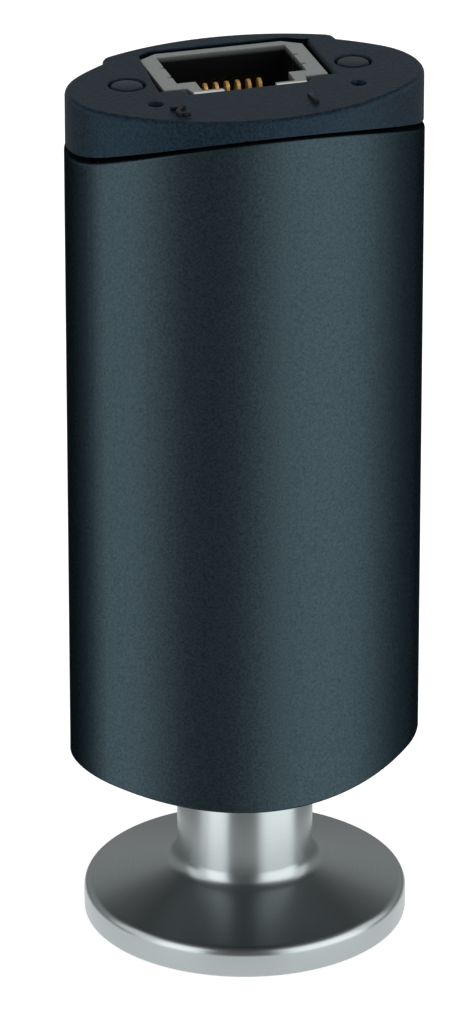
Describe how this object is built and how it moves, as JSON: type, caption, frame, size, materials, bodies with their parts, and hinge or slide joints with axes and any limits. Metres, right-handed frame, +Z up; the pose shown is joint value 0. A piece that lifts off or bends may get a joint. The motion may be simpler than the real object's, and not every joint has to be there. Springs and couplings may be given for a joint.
{
  "type": "pirani vacuum gauge",
  "caption": "Small vacuum gauge: turned flange port and neck, oval upright housing, and a cap with a modular socket, lamp windows and set-point pin holes.",
  "frame": {"origin": "centre of the flange's sealing face", "axes": "+Z up the neck and housing, +X along the housing's long side, -Y the front"},
  "size_m": [0.033, 0.03, 0.0824],
  "materials": {
    "stainless": "fine turned",
    "spring_steel": "plain",
    "sleeve_finish": "satin, fine grain",
    "cap_plastic": "fine moulded texture",
    "plug_aluminium": "anodised",
    "jack_plastic": "satin",
    "gold_plate": "gold plated",
    "lamp_window": "smoky",
    "lamp_body": "plain",
    "switch_plastic": "plain",
    "plunger_plastic": "plain",
    "board_laminate": "solder mask",
    "relay_plastic": "plain",
    "chip_plastic": "moulded",
    "ferrite": "plain",
    "can_aluminium": "drawn",
    "seal_glass": "fired",
    "bead_ceramic": "glazed",
    "filament_metal": "drawn wire"
  },
  "bodies": {
    "gauge": {"vacuum_flange": "stainless", "sensor_header": "stainless", "inlet_screen": "stainless", "lock_washer": "stainless", "lock_nut": "stainless", "screen_ring": "spring_steel", "setpoint_dome_1": "spring_steel", "setpoint_dome_2": "spring_steel", "setpoint_cover_1": "spring_steel", "setpoint_cover_2": "spring_steel", "housing_sleeve": "sleeve_finish", "top_cap": "cap_plastic", "base_plug": "plug_aluminium", "jack_housing": "jack_plastic", "jack_contacts": "gold_plate", "feedthrough_pins": "gold_plate", "link_pins": "gold_plate", "light_guide_1": "lamp_window", "light_guide_2": "lamp_window", "status_led_1": "lamp_body", "status_led_2": "lamp_body", "setpoint_switch_1": "switch_plastic", "setpoint_switch_2": "switch_plastic", "link_header": "switch_plastic", "connector_board": "board_laminate", "main_board": "board_laminate", "setpoint_relay_1": "relay_plastic", "setpoint_relay_2": "relay_plastic", "processor_chip": "chip_plastic", "regulator_chip": "chip_plastic", "power_inductor": "ferrite", "filter_capacitor": "can_aluminium", "glass_seals": "seal_glass", "compensation_sensor": "bead_ceramic", "filament": "filament_metal", "long_post": "filament_metal", "short_post": "filament_metal"},
    "setpoint_button_1": {"setpoint_plunger_1": "plunger_plastic"},
    "setpoint_button_2": {"setpoint_plunger_2": "plunger_plastic"}
  },
  "joints": [
    {"name": "press_1", "type": "slide", "parent": "gauge", "child": "setpoint_button_1", "axis": [0, 0, -1], "range_m": [0, 0.00025], "stiffness_N_per_m": 1500, "springref_m": -0.0002, "deforming": ["setpoint_dome_1"]},
    {"name": "press_2", "type": "slide", "parent": "gauge", "child": "setpoint_button_2", "axis": [0, 0, -1], "range_m": [0, 0.00025], "stiffness_N_per_m": 1500, "springref_m": -0.0002, "deforming": ["setpoint_dome_2"]}
  ]
}
